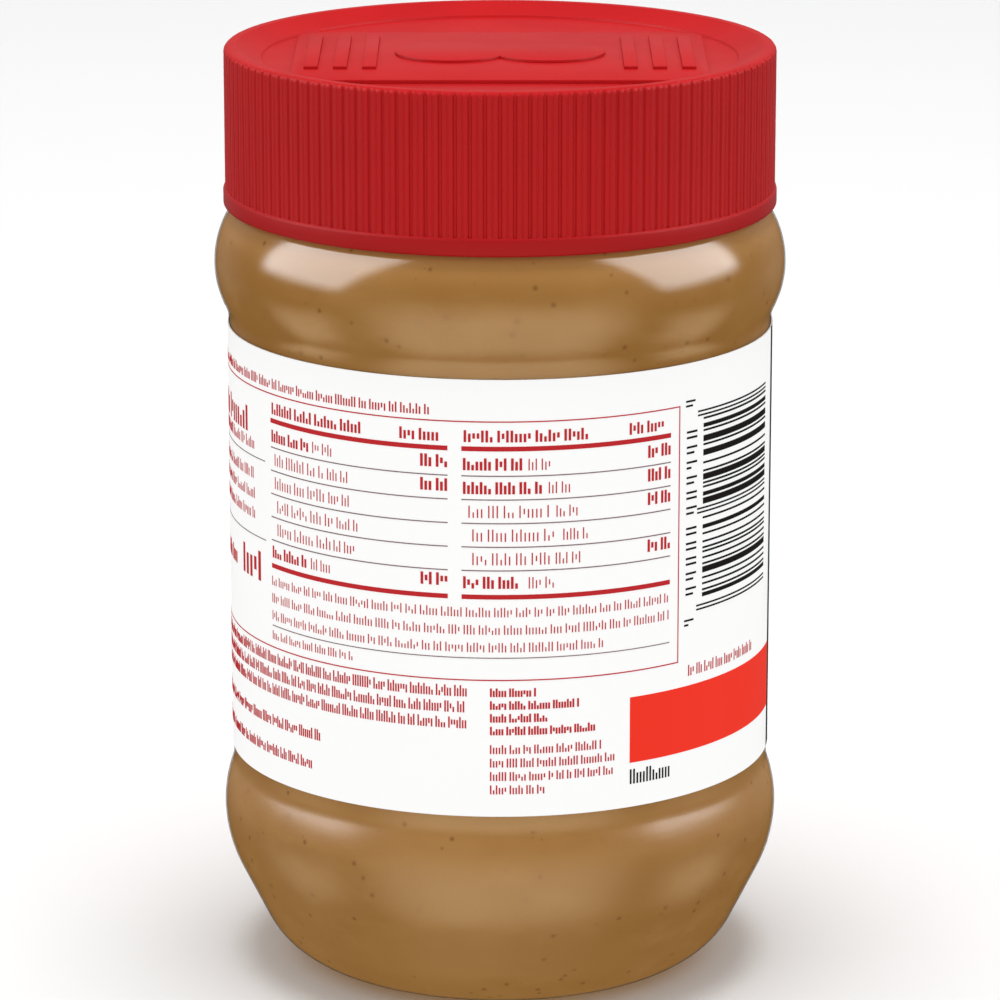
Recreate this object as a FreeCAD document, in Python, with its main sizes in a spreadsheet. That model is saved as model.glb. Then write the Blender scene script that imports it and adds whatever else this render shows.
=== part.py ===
import FreeCAD, Part
import math
import os

import Sketcher

# A clear screw-top jar of peanut butter: a blown jar with a recessed label panel, the contents,
# a wrap-around label and a ribbed screw lid. Millimetres, +Z up, the origin at the middle of the
# foot ring, the print of the label facing -Y. Everything turns about the Z axis.

SIZES = {
    # jar
    "foot_inner": 18.5,           # radius where the base dome meets the flat foot ring
    "foot_outer": 22.2,           # radius where the foot ring starts to round up
    "foot_dome": 3.0,             # rise of the base at the axis
    "base_round": 11.0,           # rounding from the foot to the taper
    "heel_radius": 37.45,
    "heel_height": 21.1,
    "heel_lower_round": 17.5,
    "heel_upper_round": 14.0,
    "waist_round": 4.5,           # hollow rounding at both ends of the label panel
    "panel_radius": 36.2,
    "shoulder_radius": 38.0,
    "shoulder_height": 96.0,
    "shoulder_lower_round": 12.0,
    "shoulder_upper_round": 12.6,
    "neck_radius": 33.6,
    "wall": 0.9,
    # screw thread
    "thread_depth": 1.0,
    "thread_width": 1.6,
    "thread_slant": 0.35,         # narrowing of each flank from root to crest
    "thread_root": 0.25,          # how far a ridge reaches into the wall that carries it
    "thread_pitch": 4.2,
    "thread_turns": 1.25,
    "thread_rise": 2.6,           # foot of the jar's thread above the bottom of the neck
    "thread_clearance": 0.3,
    # contents
    "headspace": 3.0,
    # label
    "label_low_margin": 1.9,      # straight panel left bare below the label
    "label_high_margin": 0.6,     # and above it
    "label_thickness": 0.15,
    "lap_width": 7.0,
    "lap_azimuth": 158.0,
    # lid
    "lid_height": 21.1,
    "lid_gap": 0.4,               # height of the lid's edge above the shoulder
    "skirt_wall": 1.16,           # between the inside of the skirt and the bottom of the rib grooves
    "rib_depth": 0.4,
    "rib_count": 120,
    "groove_width": 0.5,
    "bead_height": 2.4,
    "bead_step": 0.25,
    "bead_round": 0.5,
    "skirt_flare": 0.7,           # bevel inside the skirt's lower edge, across
    "flare_height": 1.05,         # and upwards
    "edge_round": 2.4,
    "crest_width": 0.8,
    "recess_slope": 1.3,
    "recess_depth": 1.8,
    "roof": 1.2,
    # raised plate on the lid
    "plate_depth": 35.0,
    "plate_corner": 3.0,
    "plate_margin": 0.8,          # between the plate's corners and the edge of the sunk panel
    "plate_rise": 0.5,
    "nut_lobe": 7.5,
    "nut_offset": 6.4,
    "bar_gap": 2.2,               # between the nut and the first bar
    "bar_width": 1.8,
    "bar_length": 24.0,
    "bar_pitch": 3.8,
    "bar_margin": 1.2,            # bare plate beyond the last bar
    "emblem_rise": 0.4,
}

doc = FreeCAD.newDocument("jar")
sheet = doc.addObject("Spreadsheet::Sheet", "sizes")
for row, (alias, figure) in enumerate(SIZES.items(), start=1):
    sheet.set("A%d" % row, alias)
    sheet.set("B%d" % row, str(figure))
    sheet.setAlias("B%d" % row, alias)
doc.recompute()


class Size:
    """A length with its number and the expression that ties it to the sheet."""

    def __init__(self, number, text):
        self.number = number
        self.text = text

    def join(self, other, sign):
        other = as_size(other)
        number = self.number + sign * other.number
        return Size(number, "%s %s (%s)" % (self.text, "+" if sign > 0 else "-", other.text))

    def __add__(self, other):
        return self.join(other, 1)

    def __sub__(self, other):
        return self.join(other, -1)

    def __mul__(self, factor):
        return Size(self.number * factor, "(%s) * %r" % (self.text, factor))


def as_size(thing):
    return thing if isinstance(thing, Size) else Size(thing, repr(thing))


def size(name):
    return Size(SIZES[name], "sizes.%s" % name)


def root(square):
    return Size(math.sqrt(square.number), "sqrt(%s)" % square.text)


def squared(length):
    return Size(length.number ** 2, "(%s) ^ 2" % length.text)


def bulge_reach(bulge, bulge_round):
    """Height from the crest of a bulge to the start of the straight label panel."""
    both = size(bulge_round) + size("waist_round")
    return root(squared(both) - squared(both - (size(bulge) - size("panel_radius"))))


# Heights and radii that follow from the driving sizes.
panel_low = size("heel_height") + bulge_reach("heel_radius", "heel_upper_round")
panel_high = size("shoulder_height") - bulge_reach("shoulder_radius", "shoulder_lower_round")
thread_radius = size("neck_radius") + size("thread_depth")
skirt_inner = thread_radius + size("thread_clearance")
lid_radius = skirt_inner + size("skirt_wall") + size("rib_depth")
bead_radius = lid_radius + size("bead_step")
crest_inner = lid_radius - size("edge_round") - size("crest_width")
floor_radius = crest_inner - size("recess_slope")
flare_radius = skirt_inner + size("skirt_flare")
shoulder_axis = size("shoulder_radius") - size("shoulder_upper_round")
flare_reach = flare_radius - shoulder_axis
shoulder_rise = root(squared(size("shoulder_upper_round")) - squared(flare_reach))
lid_edge = size("shoulder_height") + shoulder_rise + size("lid_gap")
bead_top = lid_edge + size("bead_height")
lid_top = lid_edge + size("lid_height")
lid_floor = lid_top - size("recess_depth")                  # top of the sunk panel of the lid
rim_height = lid_floor - size("roof")                       # the lid seats here on the jar's rim
fill_level = rim_height - size("headspace")
corner_reach = floor_radius - size("plate_margin") - size("plate_corner")
corner_rise = size("plate_depth") * 0.5 - size("plate_corner")
plate_half_width = size("plate_corner") + root(squared(corner_reach) - squared(corner_rise))
neck_reach = size("neck_radius") - shoulder_axis
neck_bottom = size("shoulder_height") + root(squared(size("shoulder_upper_round")) - squared(neck_reach))


def new_body(label):
    body = doc.addObject("PartDesign::Body", label)
    body.Label = label
    return body


def origin_feature(body, role):
    for feature in body.Origin.OriginFeatures:
        if feature.Role == role:
            return feature
    raise RuntimeError("no origin feature " + role)


def new_sketch(body, name, plane="XZ_Plane", height=None):
    sketch = body.newObject("Sketcher::SketchObject", name)
    sketch.AttachmentSupport = (origin_feature(body, plane), [""])
    sketch.MapMode = "FlatFace"
    if height is not None:
        sketch.AttachmentOffset = FreeCAD.Placement(FreeCAD.Vector(0, 0, height.number), FreeCAD.Rotation())
        sketch.setExpression("AttachmentOffset.Base.z", height.text)
    return sketch


def dimension(sketch, kind, where, length):
    """Adds a driving dimension that follows the sheet."""
    index = sketch.addConstraint(Sketcher.Constraint(kind, *where, length.number))
    name = "%s_%d" % (kind.lower(), index)
    sketch.renameConstraint(index, name)
    sketch.setExpression("Constraints." + name, length.text)


def place_point(sketch, edge, end, x, y):
    """Fixes one end of an edge at (x, y). None stands for a point on that axis."""
    for kind, along, axis in (("DistanceX", x, -2), ("DistanceY", y, -1)):
        if along is None:
            sketch.addConstraint(Sketcher.Constraint("PointOnObject", edge, end, axis))
        else:
            dimension(sketch, kind, (edge, end), along)


def add_line(sketch, start, finish):
    ends = [FreeCAD.Vector(x, y, 0) for x, y in (start, finish)]
    return sketch.addGeometry(Part.LineSegment(*ends), False)


def add_arc(sketch, centre, radius, first, last):
    """An arc, anticlockwise from the first angle to the last, in radians."""
    circle = Part.Circle(FreeCAD.Vector(*centre, 0), FreeCAD.Vector(0, 0, 1), radius)
    return sketch.addGeometry(Part.ArcOfCircle(circle, first, last), False)


def reading(length):
    return 0.0 if length is None else length.number


def draw_polygon(sketch, corners, rounds=None):
    """Draws a closed outline through the corners. rounds[i] is the radius and turn of the arc that
    takes the place of the straight edge after corner i: 1 bulges outwards, -1 inwards."""
    rounds = rounds or {}
    points = [(reading(x), reading(y)) for x, y in corners]
    edges = []
    for i, start in enumerate(points):
        finish = points[(i + 1) % len(points)]
        if i not in rounds:
            edges.append((add_line(sketch, start, finish), 1, 2))
            continue
        radius, turn = rounds[i]
        middle = ((start[0] + finish[0]) / 2, (start[1] + finish[1]) / 2)
        chord = math.dist(start, finish)
        reach = math.sqrt(max(radius.number ** 2 - chord ** 2 / 4, 0.0)) * turn
        side = ((finish[1] - start[1]) / chord, (start[0] - finish[0]) / chord)
        centre = (middle[0] - side[0] * reach, middle[1] - side[1] * reach)
        angles = [math.atan2(p[1] - centre[1], p[0] - centre[0]) for p in (start, finish)]
        if turn > 0:
            edges.append((add_arc(sketch, centre, radius.number, angles[0], angles[1]), 1, 2))
        else:
            edges.append((add_arc(sketch, centre, radius.number, angles[1], angles[0]), 2, 1))
    for i, (edge, _, finish) in enumerate(edges):
        following = edges[(i + 1) % len(edges)]
        sketch.addConstraint(Sketcher.Constraint("Coincident", edge, finish, following[0], following[1]))
    for i, (edge, start, _) in enumerate(edges):
        place_point(sketch, edge, start, *corners[i])
        if i in rounds:
            dimension(sketch, "Radius", (edge,), rounds[i][0])


def draw_jar_profile(sketch, inset, top):
    """Draws half of the jar's section, from the base dome round the foot, heel, label panel and
    shoulder to the neck, a number of wall thicknesses inside the outer face."""
    skin = size("wall") * inset
    base = skin if inset else None
    base_centre = (SIZES["foot_outer"], SIZES["base_round"])
    base_radius = size("base_round") - skin
    heel_low = size("heel_lower_round") - skin
    heel_high = size("heel_upper_round") - skin
    hollow = size("waist_round") + skin
    panel = size("panel_radius") - skin
    heel = size("heel_radius") - skin
    shoulder = size("shoulder_radius") - skin
    shoulder_low = size("shoulder_lower_round") - skin
    shoulder_high = size("shoulder_upper_round") - skin
    neck = size("neck_radius") - skin
    heel_z = SIZES["heel_height"]
    shoulder_z = SIZES["shoulder_height"]

    # The dome is an arc about a point on the axis through the foot ring's inner edge.
    rise = SIZES["foot_dome"]
    dome_radius = (SIZES["foot_inner"] ** 2 + rise ** 2) / (2 * rise)
    dome_centre = (0.0, rise - dome_radius + skin.number)
    dome_foot = math.atan2(skin.number - dome_centre[1], SIZES["foot_inner"])
    dome = add_arc(sketch, dome_centre, dome_radius, dome_foot, math.pi / 2)
    foot = add_line(sketch, (SIZES["foot_inner"], reading(base)), (SIZES["foot_outer"], reading(base)))

    # The taper is the straight line that touches both the base rounding and the heel.
    heel_centre = (heel.number - heel_low.number, heel_z)
    span = math.dist(base_centre, heel_centre)
    lean = math.atan2(heel_centre[1] - base_centre[1], heel_centre[0] - base_centre[0])
    lean -= math.acos((base_radius.number - heel_low.number) / span)
    outward = (math.cos(lean), math.sin(lean))
    ends = [(c[0] + r * outward[0], c[1] + r * outward[1])
            for c, r in ((base_centre, base_radius.number), (heel_centre, heel_low.number))]
    base_arc = add_arc(sketch, base_centre, base_radius.number, -math.pi / 2, lean)
    taper = add_line(sketch, *ends)
    heel_arc = add_arc(sketch, heel_centre, heel_low.number, lean, 0)

    # Each bulge runs into the straight label panel through a hollow rounding.
    def swing(bulge, radius):
        across = radius.number + hollow.number - (bulge.number - panel.number)
        return math.acos(across / (radius.number + hollow.number))

    heel_turn = swing(heel, heel_high)
    shoulder_turn = swing(shoulder, shoulder_low)
    hollow_x = panel.number + hollow.number
    panel_low = heel_z + (heel_high.number + hollow.number) * math.sin(heel_turn)
    panel_high = shoulder_z - (shoulder_low.number + hollow.number) * math.sin(shoulder_turn)
    heel_top = add_arc(sketch, (heel.number - heel_high.number, heel_z), heel_high.number, 0, heel_turn)
    low_hollow = add_arc(sketch, (hollow_x, panel_low), hollow.number, math.pi, math.pi + heel_turn)
    side = add_line(sketch, (panel.number, panel_low), (panel.number, panel_high))
    high_hollow = add_arc(
        sketch, (hollow_x, panel_high), hollow.number, math.pi - shoulder_turn, math.pi)
    shoulder_arc = add_arc(
        sketch, (shoulder.number - shoulder_low.number, shoulder_z), shoulder_low.number,
        -shoulder_turn, 0)
    crown_x = shoulder.number - shoulder_high.number
    crown_end = math.acos((neck.number - crown_x) / shoulder_high.number)
    crown = add_arc(sketch, (crown_x, shoulder_z), shoulder_high.number, 0, crown_end)
    crown_top = shoulder_z + shoulder_high.number * math.sin(crown_end)
    neck_line = add_line(sketch, (neck.number, crown_top), (neck.number, top.number))
    lid_line = add_line(sketch, (neck.number, top.number), (0, top.number))
    axis_line = add_line(sketch, (0, top.number), (0, rise + skin.number))

    smooth = ((foot, 2, base_arc, 1), (base_arc, 2, taper, 1), (taper, 2, heel_arc, 1),
              (heel_arc, 2, heel_top, 1), (heel_top, 2, low_hollow, 2), (low_hollow, 1, side, 1),
              (side, 2, high_hollow, 2), (high_hollow, 1, shoulder_arc, 1),
              (shoulder_arc, 2, crown, 1))
    for joint in smooth:
        sketch.addConstraint(Sketcher.Constraint("Tangent", *joint))
    sharp = ((dome, 1, foot, 1), (crown, 2, neck_line, 1), (neck_line, 2, lid_line, 1),
             (lid_line, 2, axis_line, 1), (axis_line, 2, dome, 2))
    for joint in sharp:
        sketch.addConstraint(Sketcher.Constraint("Coincident", *joint))
    for upright in (side, neck_line, axis_line):
        sketch.addConstraint(Sketcher.Constraint("Vertical", upright))
    for level in (foot, lid_line):
        sketch.addConstraint(Sketcher.Constraint("Horizontal", level))
    for centre_arc in (heel_arc, shoulder_arc):
        sketch.addConstraint(Sketcher.Constraint("Horizontal", centre_arc, 3, centre_arc, 2))
    sketch.addConstraint(Sketcher.Constraint("PointOnObject", dome, 3, -2))
    place_point(sketch, axis_line, 2, None, size("foot_dome") + skin)
    place_point(sketch, foot, 1, size("foot_inner"), base)
    dimension(sketch, "DistanceX", (foot, 2), size("foot_outer"))
    place_point(sketch, heel_arc, 2, heel, size("heel_height"))
    place_point(sketch, shoulder_arc, 2, shoulder, size("shoulder_height"))
    dimension(sketch, "DistanceX", (side, 1), panel)
    dimension(sketch, "DistanceX", (neck_line, 1), neck)
    dimension(sketch, "DistanceY", (lid_line, 1), top)
    for arc, radius in ((base_arc, base_radius), (heel_arc, heel_low), (heel_top, heel_high),
                        (low_hollow, hollow), (high_hollow, hollow), (shoulder_arc, shoulder_low),
                        (crown, shoulder_high)):
        dimension(sketch, "Radius", (arc,), radius)


def revolve(body, sketch, name, kind="PartDesign::Revolution", angle=360.0):
    feature = body.newObject(kind, name)
    feature.Profile = sketch
    feature.ReferenceAxis = (sketch, ["V_Axis"])
    feature.Angle = angle
    return feature


def wind_thread(body, name, inner, outer, start):
    """Adds a helical thread ridge, a truncated V, between two radii."""
    width = size("thread_width")
    slant = size("thread_slant")
    sketch = new_sketch(body, name + "Section")
    draw_polygon(sketch, [
        (inner, start), (outer, start + slant), (outer, start + width - slant), (inner, start + width)])
    doc.recompute()
    thread = body.newObject("PartDesign::AdditiveHelix", name)
    thread.Profile = sketch
    thread.ReferenceAxis = (sketch, ["V_Axis"])
    thread.Mode = "pitch-turns-angle"
    thread.Pitch = SIZES["thread_pitch"]
    thread.setExpression("Pitch", "sizes.thread_pitch")
    thread.Turns = SIZES["thread_turns"]
    thread.setExpression("Turns", "sizes.thread_turns")
    return thread


def grown(body, work, more):
    """Runs one feature and makes sure that it added or removed material."""
    doc.recompute()
    before = body.Shape.Volume
    feature = work()
    doc.recompute()
    change = body.Shape.Volume - before
    if change * more <= 0:
        raise RuntimeError("%s of %s changed the volume by %.3f" % (feature.Name, body.Label, change))
    return feature


def make_jar():
    body = new_body("jar")
    outside = new_sketch(body, "JarOutside")
    draw_jar_profile(outside, 0, rim_height)
    revolve(body, outside, "JarForm")
    inside = new_sketch(body, "JarInside")
    draw_jar_profile(inside, 1, rim_height)
    grown(body, lambda: revolve(body, inside, "JarCavity", "PartDesign::Groove"), -1)
    start = neck_bottom + size("thread_rise")
    grown(body, lambda: wind_thread(
        body, "JarThread", size("neck_radius") - size("thread_root"), thread_radius, start), 1)
    return body


def make_contents():
    body = new_body("peanut_butter")
    sketch = new_sketch(body, "ContentsProfile")
    draw_jar_profile(sketch, 1, fill_level)
    revolve(body, sketch, "ContentsForm")
    return body


def make_label():
    body = new_body("label")
    low = panel_low + size("label_low_margin")
    high = panel_high - size("label_high_margin")
    inner = size("panel_radius")
    outer = inner + size("label_thickness")
    sleeve = new_sketch(body, "LabelSection")
    draw_polygon(sleeve, [(inner, low), (outer, low), (outer, high), (inner, high)])
    revolve(body, sleeve, "LabelSleeve")

    def lap():
        sketch = new_sketch(body, "LapSection")
        turn = FreeCAD.Rotation(FreeCAD.Vector(0, 1, 0), SIZES["lap_azimuth"])
        sketch.AttachmentOffset = FreeCAD.Placement(FreeCAD.Vector(), turn)
        sketch.setExpression("AttachmentOffset.Rotation.Angle", "sizes.lap_azimuth")
        draw_polygon(sketch, [(inner, low), (outer + size("label_thickness"), low),
                              (outer + size("label_thickness"), high), (inner, high)])
        feature = revolve(body, sketch, "LabelLap", angle=math.degrees(
            SIZES["lap_width"] / SIZES["panel_radius"]))
        feature.setExpression("Angle", "sizes.lap_width / sizes.panel_radius * 180 / pi")
        return feature

    grown(body, lap, 1)
    return body


def draw_lid_profile(sketch):
    draw_polygon(sketch, [
        (None, rim_height),
        (skirt_inner, rim_height),
        (skirt_inner, lid_edge + size("flare_height")),
        (flare_radius, lid_edge),
        (bead_radius - size("bead_round"), lid_edge),
        (bead_radius, lid_edge + size("bead_round")),
        (bead_radius, bead_top - size("bead_step")),
        (lid_radius, bead_top),
        (lid_radius, lid_top - size("edge_round")),
        (crest_inner + size("crest_width"), lid_top),
        (crest_inner, lid_top),
        (floor_radius, lid_floor),
        (None, lid_floor),
    ], {4: (size("bead_round"), 1), 8: (size("edge_round"), 1)})


def cut_rib_groove(body):
    sketch = new_sketch(body, "GrooveSection", "XY_Plane", bead_top)
    bottom = lid_radius - size("rib_depth")
    clear = bead_radius + size("edge_round")
    half = size("groove_width") * 0.5
    draw_polygon(sketch, [(bottom, half * -1), (clear, half * -1), (clear, half), (bottom, half)])
    groove = body.newObject("PartDesign::Pocket", "RibGroove")
    groove.Profile = sketch
    groove.Reversed = True
    groove.Length = SIZES["lid_height"]
    groove.setExpression("Length", "sizes.lid_height")
    return groove


def repeat_groove(body, groove):
    pattern = body.newObject("PartDesign::PolarPattern", "RibGrooves")
    pattern.Originals = [groove]
    pattern.Axis = (origin_feature(body, "Z_Axis"), [""])
    pattern.Angle = 360.0
    pattern.Occurrences = int(SIZES["rib_count"])
    pattern.setExpression("Occurrences", "sizes.rib_count")
    body.Tip = pattern
    return pattern


def pad(body, sketch, name, length):
    feature = body.newObject("PartDesign::Pad", name)
    feature.Profile = sketch
    feature.Length = length.number
    feature.setExpression("Length", length.text)
    return feature


def raise_plate(body):
    sketch = new_sketch(body, "PlateOutline", "XY_Plane", lid_floor)
    wide = plate_half_width
    deep = size("plate_depth") * 0.5
    corner = size("plate_corner")
    corners = []
    for x_way, y_way in ((1, -1), (1, 1), (-1, 1), (-1, -1)):
        along = (wide * x_way - corner * x_way, deep * y_way)
        beside = (wide * x_way, deep * y_way - corner * y_way)
        corners += [along, beside] if x_way * y_way < 0 else [beside, along]
    draw_polygon(sketch, corners, {i: (corner, 1) for i in (0, 2, 4, 6)})
    return pad(body, sketch, "LidPlate", size("plate_rise"))


def raise_emblem(body):
    """A plain two-lobed nut between two sets of bars."""
    sketch = new_sketch(body, "EmblemOutline", "XY_Plane", lid_floor + size("plate_rise"))
    lobe = size("nut_lobe")
    offset = SIZES["nut_offset"]
    open_half = math.acos(-offset / lobe.number)
    ends = []
    for way in (1, -1):
        turn = 0 if way > 0 else math.pi
        arc = add_arc(sketch, (way * offset, 0), lobe.number, turn - open_half, turn + open_half)
        place_point(sketch, arc, 3, size("nut_offset") * way, None)
        ends.append(arc)
    sketch.addConstraint(Sketcher.Constraint("Coincident", ends[0], 2, ends[1], 1))
    sketch.addConstraint(Sketcher.Constraint("Coincident", ends[1], 2, ends[0], 1))
    sketch.addConstraint(Sketcher.Constraint("PointOnObject", ends[0], 2, -2))
    dimension(sketch, "Radius", (ends[0],), lobe)
    half = size("bar_length") * 0.5
    first = size("nut_offset") + lobe + size("bar_gap")
    room = plate_half_width - size("bar_margin") - size("bar_width") - first
    bars = 1 + max(0, int(room.number / SIZES["bar_pitch"]))
    for way in (1, -1):
        for place in range(bars):
            near = (first + size("bar_pitch") * place) * way
            far = near + size("bar_width") * way
            if way < 0:
                near, far = far, near
            draw_polygon(sketch, [(near, half * -1), (far, half * -1), (far, half), (near, half)])
    return pad(body, sketch, "LidEmblem", size("emblem_rise"))


def make_lid():
    body = new_body("lid")
    profile = new_sketch(body, "LidProfile")
    draw_lid_profile(profile)
    revolve(body, profile, "LidForm")
    # The lid's ridge runs half a pitch under the jar's, so that the two never meet.
    start = neck_bottom + size("thread_rise") - size("thread_pitch") * 0.5
    root_radius = skirt_inner + size("thread_root")
    crest_radius = skirt_inner - size("thread_depth")
    grown(body, lambda: wind_thread(body, "LidThread", root_radius, crest_radius, start), 1)
    grown(body, lambda: raise_plate(body), 1)
    grown(body, lambda: raise_emblem(body), 1)
    groove = grown(body, lambda: cut_rib_groove(body), -1)
    grown(body, lambda: repeat_groove(body, groove), -1)
    return body


pieces = [make_jar(), make_contents(), make_label(), make_lid()]
doc.recompute()

for thing in doc.Objects:
    if "Invalid" in thing.State or "Error" in thing.State:
        raise RuntimeError("%s is in state %s" % (thing.Name, thing.State))
    if thing.isDerivedFrom("Sketcher::SketchObject") and not thing.FullyConstrained:
        raise RuntimeError("%s has a free dimension" % thing.Name)
for piece in pieces:
    if piece.Shape.isNull() or not piece.Shape.isValid() or len(piece.Shape.Solids) != 1:
        raise RuntimeError("%s is not one valid solid" % piece.Label)

os.makedirs("parts", exist_ok=True)
for piece in pieces:
    piece.Shape.exportStep("parts/%s.step" % piece.Label)
    box = piece.Shape.BoundBox
    print("%s: %.2f x %.2f x %.2f mm, z %.2f to %.2f, %.2f ml" % (
        piece.Label, box.XLength, box.YLength, box.ZLength, box.ZMin, box.ZMax,
        piece.Shape.Volume / 1000))
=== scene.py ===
import math
import random

import bmesh
import bpy
from mathutils import Matrix, Vector


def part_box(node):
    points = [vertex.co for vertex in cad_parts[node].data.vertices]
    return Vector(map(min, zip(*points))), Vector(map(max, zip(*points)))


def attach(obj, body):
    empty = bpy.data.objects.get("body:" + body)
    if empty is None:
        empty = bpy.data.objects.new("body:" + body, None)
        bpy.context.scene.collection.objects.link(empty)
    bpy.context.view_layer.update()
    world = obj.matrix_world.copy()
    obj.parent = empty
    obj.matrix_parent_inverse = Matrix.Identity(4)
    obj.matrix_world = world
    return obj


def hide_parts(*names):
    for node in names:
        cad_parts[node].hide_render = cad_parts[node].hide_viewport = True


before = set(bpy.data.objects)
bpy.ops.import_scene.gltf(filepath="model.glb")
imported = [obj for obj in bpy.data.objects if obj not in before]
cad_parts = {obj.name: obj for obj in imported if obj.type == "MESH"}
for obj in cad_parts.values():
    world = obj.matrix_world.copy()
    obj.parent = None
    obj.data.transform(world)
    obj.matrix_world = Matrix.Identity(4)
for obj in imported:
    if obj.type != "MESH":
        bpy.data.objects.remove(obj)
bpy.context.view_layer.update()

# A clear jar of peanut butter with a wrapped label and a ribbed red lid.
# Sizes here are in millimetres; keep() turns each finished piece into metres.
mm = 0.001
turn = 2 * math.pi
weld = 0.0005       # corners closer than this become one


def cadSize(node):
    low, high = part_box(node)
    return low / mm, high / mm


jarHigh = cadSize("jar")[1]
fillHigh = cadSize("peanut_butter")[1]
labelLow, labelHigh = cadSize("label")
lidLow, lidHigh = cadSize("lid")


def paint(red, green, blue):
    # a colour as it looks on a screen, 0 to 255, as the shader's linear one
    def linear(part):
        part = part / 255
        return part / 12.92 if part <= 0.04045 else ((part + 0.055) / 1.055) ** 2.4
    return (linear(red), linear(green), linear(blue), 1.0)


# a socket that adds its own Math nodes when it is used in an expression
class Value:
    def __init__(self, finish, socket):
        self.finish = finish
        self.socket = socket

    def maths(self, operation, *others):
        return self.finish.node("Math", {"operation": operation}, dict(enumerate((self,) + others)))

    def __add__(self, other):
        return self.maths("ADD", other)

    __radd__ = __add__

    def __mul__(self, other):
        return self.maths("MULTIPLY", other)

    __rmul__ = __mul__

    def __sub__(self, other):
        return self.maths("SUBTRACT", other)

    def __rsub__(self, other):
        return self.finish.node("Math", {"operation": "SUBTRACT"}, {0: other, 1: self})

    def __truediv__(self, other):
        return self.maths("DIVIDE", other)

    def __pow__(self, other):
        return self.maths("POWER", other)

    def atLeast(self, other):
        return self.maths("MAXIMUM", other)

    def atMost(self, other):
        return self.maths("MINIMUM", other)

    def between(self, low, high):
        # 0 below low, 1 above high, a smooth rise in between
        return self.finish.node(
            "MapRange", {"interpolation_type": "SMOOTHSTEP"}, {0: self, 1: low, 2: high, 3: 0.0, 4: 1.0})


class Finish:
    def __init__(self, name, tree=None):
        if tree is None:
            self.material = bpy.data.materials.new(name)
            self.material.use_nodes = True
            tree = self.material.node_tree
        self.tree = tree
        tree.nodes.clear()

    def node(self, kind, settings=None, sockets=None, out=0):
        made = self.tree.nodes.new("ShaderNode" + kind)
        for name, setting in (settings or {}).items():
            setattr(made, name, setting)
        for name, value in (sockets or {}).items():
            if isinstance(value, Value):
                self.tree.links.new(value.socket, made.inputs[name])
            else:
                made.inputs[name].default_value = value
        return Value(self, made.outputs[out])

    def place(self):
        return self.node("TexCoord", out="Object")

    def height(self):
        # how high on the jar a point lies
        return self.node("SeparateXYZ", None, {"Vector": self.place()}, "Z")

    def noise(self, size, detail=2.0, roughness=0.5, stretch=None):
        # size is the width of one blotch in millimetres
        where = self.place()
        if stretch:
            where = self.node("Mapping", None, {"Vector": where, "Scale": stretch})
        return self.node("TexNoise", None, {
            "Vector": where, "Scale": 1 / (size * mm), "Detail": detail, "Roughness": roughness})

    def specks(self, spacing, radius, edge):
        # round dots, one in each cell of that spacing, in millimetres
        distance = self.node("TexVoronoi", None, {
            "Vector": self.place(), "Scale": 1 / (spacing * mm), "Randomness": 1.0}, "Distance")
        return 1 - distance.between((radius - edge) / spacing, (radius + edge) / spacing)

    def blend(self, share, first, second):
        settings = {"data_type": "RGBA", "blend_type": "MIX"}
        return self.node("Mix", settings, {0: share, 6: first, 7: second}, 2)

    def bump(self, height, depth):
        return self.node("Bump", None, {"Height": height, "Strength": 1.0, "Distance": depth * mm})

    def output(self, shader, kind="OutputMaterial"):
        made = self.tree.nodes.new("ShaderNode" + kind)
        self.tree.links.new(shader.socket, made.inputs["Surface"])
        return getattr(self, "material", None)


def arc(centre, radius, first, last, steps):
    # points from the first angle to the last, in degrees, anticlockwise from the outward direction
    points = []
    for step in range(steps + 1):
        angle = math.radians(first + (last - first) * step / steps)
        points.append((centre[0] + radius * math.cos(angle), centre[1] + radius * math.sin(angle)))
    return points


def wire(shape, line, closed=False):
    corners = [shape.verts.new((radius, 0, height)) for radius, height in line]
    edges = [shape.edges.new(pair) for pair in zip(corners, corners[1:])]
    if closed:
        edges.append(shape.edges.new((corners[-1], corners[0])))
    return corners + edges


def turned(line, steps, closed=False, angle=turn, start=0.0):
    # spins an outline of (radius, height) points about the jar's axis
    shape = bmesh.new()
    geometry = wire(shape, line, closed)
    bmesh.ops.rotate(shape, matrix=Matrix.Rotation(start, 3, "Z"), verts=shape.verts)
    whole = angle == turn
    bmesh.ops.spin(shape, geom=geometry, cent=(0, 0, 0), axis=(0, 0, 1), angle=angle, steps=steps,
                   use_merge=whole)
    return shape


def joined(*shapes):
    whole = bmesh.new()
    for shape in shapes:
        mesh = bpy.data.meshes.new("part")
        shape.to_mesh(mesh)
        shape.free()
        whole.from_mesh(mesh)
        bpy.data.meshes.remove(mesh)
    return whole


def keep(shape, name, finish, slot=None, node=None, merge=True, crease=40.0):
    if merge:
        bmesh.ops.remove_doubles(shape, verts=shape.verts, dist=weld)
    bmesh.ops.recalc_face_normals(shape, faces=shape.faces)
    bmesh.ops.scale(shape, vec=(mm, mm, mm), verts=shape.verts)
    mesh = bpy.data.meshes.new(name)
    shape.to_mesh(mesh)
    shape.free()
    for face in mesh.polygons:
        face.use_smooth = True
    mesh.set_sharp_from_angle(angle=math.radians(crease))
    mesh.materials.append(finish)
    piece = bpy.data.objects.new(name, mesh)
    bpy.context.scene.collection.objects.link(piece)
    if slot is None:
        return piece
    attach(piece, "root")
    if node:
        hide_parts(node)
    return piece


view = {
    "aim": 62.7,            # height that the camera looks at
    "distance": 718.7,
    "elevation": 14.612,
    "lens": 191.9,
}


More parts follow.
